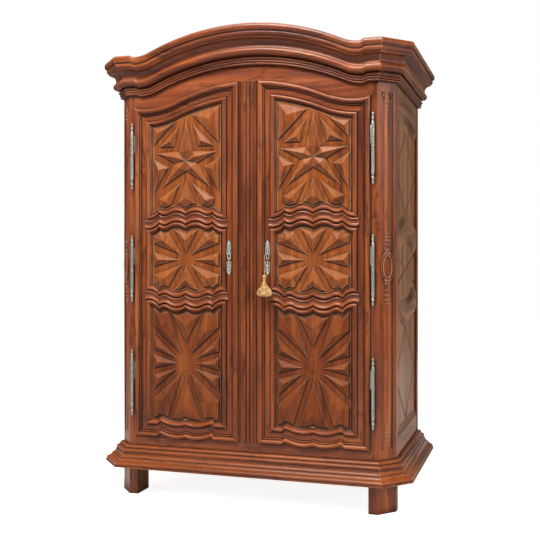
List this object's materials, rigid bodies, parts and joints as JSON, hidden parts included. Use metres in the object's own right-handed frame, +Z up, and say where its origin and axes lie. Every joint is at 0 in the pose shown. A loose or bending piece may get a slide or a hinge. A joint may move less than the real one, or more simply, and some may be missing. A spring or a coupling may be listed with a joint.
{
  "type": "carved armoire",
  "caption": "Tall walnut armoire with an arched moulded cornice, hinged doors carved with stars and diamond points, barrel hinges, locks with sliding bolts, a key with a tassel, and shelves.",
  "frame": {"origin": "on the floor, under the middle of the cabinet's own box", "axes": "+Z up, -Y out of the front, +X to the right of someone facing the doors"},
  "size_m": [1.684, 0.868, 2.411],
  "materials": {
    "walnut_front": "reddish walnut, wax polished",
    "walnut_panel": "reddish walnut, carved and wax polished",
    "walnut_side": "brown walnut, waxed",
    "plain_wood": "unpolished planed softwood, aged",
    "steel_bright": "old polished steel, dark in the hollows",
    "iron_dark": "dark forged iron",
    "gold_thread": "golden silk thread"
  },
  "bodies": {
    "carcass": {"left_front_post": "walnut_front", "left_back_post": "walnut_side", "left_side_rails": "walnut_side", "left_side_top_panel": "walnut_side", "left_side_middle_panel": "walnut_side", "left_side_bottom_panel": "walnut_side", "left_hinge_lower_knuckles": "steel_bright", "right_front_post": "walnut_front", "right_back_post": "walnut_side", "right_side_rails": "walnut_side", "right_side_top_panel": "walnut_side", "right_side_middle_panel": "walnut_side", "right_side_bottom_panel": "walnut_side", "right_hinge_lower_knuckles": "steel_bright", "centre_stile": "walnut_front", "front_frieze_rail": "walnut_front", "front_bottom_rail": "walnut_front", "base_front": "walnut_front", "base_returns": "walnut_front", "cornice_front": "walnut_front", "cornice_returns": "walnut_front", "carcass_pegs": "walnut_front", "back_rails": "plain_wood", "back_boards": "plain_wood", "floor_boards": "plain_wood", "roof_boards": "plain_wood", "lower_shelf": "plain_wood", "upper_shelf": "plain_wood", "shelf_bearers": "plain_wood", "lock_keepers": "iron_dark"},
    "right_door": {"right_door_hinge_stile": "walnut_front", "right_door_lock_stile": "walnut_front", "right_door_top_rail": "walnut_front", "right_door_cross_rails": "walnut_front", "right_door_bottom_rail": "walnut_front", "right_door_top_panel": "walnut_panel", "right_door_middle_panel": "walnut_panel", "right_door_bottom_panel": "walnut_panel", "right_door_pegs": "walnut_front", "right_door_hinge_knuckles": "steel_bright", "right_escutcheon": "steel_bright", "right_lock_case": "iron_dark"},
    "left_door": {"left_door_hinge_stile": "walnut_front", "left_door_lock_stile": "walnut_front", "left_door_top_rail": "walnut_front", "left_door_cross_rails": "walnut_front", "left_door_bottom_rail": "walnut_front", "left_door_top_panel": "walnut_panel", "left_door_middle_panel": "walnut_panel", "left_door_bottom_panel": "walnut_panel", "left_door_pegs": "walnut_front", "left_door_hinge_knuckles": "steel_bright", "left_escutcheon": "steel_bright", "left_lock_case": "iron_dark"},
    "key": {"key": "iron_dark"},
    "right_bolt": {"right_lock_bolt": "iron_dark"},
    "left_bolt": {"left_lock_bolt": "iron_dark"},
    "tassel": {"tassel_cord": "gold_thread", "tassel": "gold_thread"}
  },
  "joints": [
    {"name": "right_door_hinge", "type": "hinge", "parent": "carcass", "child": "right_door", "pos_m": [0.648, -0.352, 1.189], "axis": [0, 0, 1], "range_deg": [0, 170]},
    {"name": "left_door_hinge", "type": "hinge", "parent": "carcass", "child": "left_door", "pos_m": [-0.648, -0.352, 1.189], "axis": [0, 0, 1], "range_deg": [-170, 0]},
    {"name": "key_turn", "type": "hinge", "parent": "right_door", "child": "key", "pos_m": [0.1045, -0.338, 1.258], "axis": [0, 1, 0], "range_deg": [0, 300]},
    {"name": "right_bolt_throw", "type": "slide", "parent": "right_door", "child": "right_bolt", "axis": [-1, 0, 0], "range_m": [0, 0.014]},
    {"name": "left_bolt_throw", "type": "slide", "parent": "left_door", "child": "left_bolt", "axis": [1, 0, 0], "range_m": [0, 0.014]},
    {"name": "tassel_swing", "type": "hinge", "parent": "right_door", "child": "tassel", "pos_m": [0.1045, -0.3862, 1.258], "axis": [0, 1, 0], "range_deg": [-60, 60]}
  ],
  "couplings": [
    {"joint": "key_turn", "follows": "right_bolt_throw", "rad_per_m": 373.9}
  ]
}
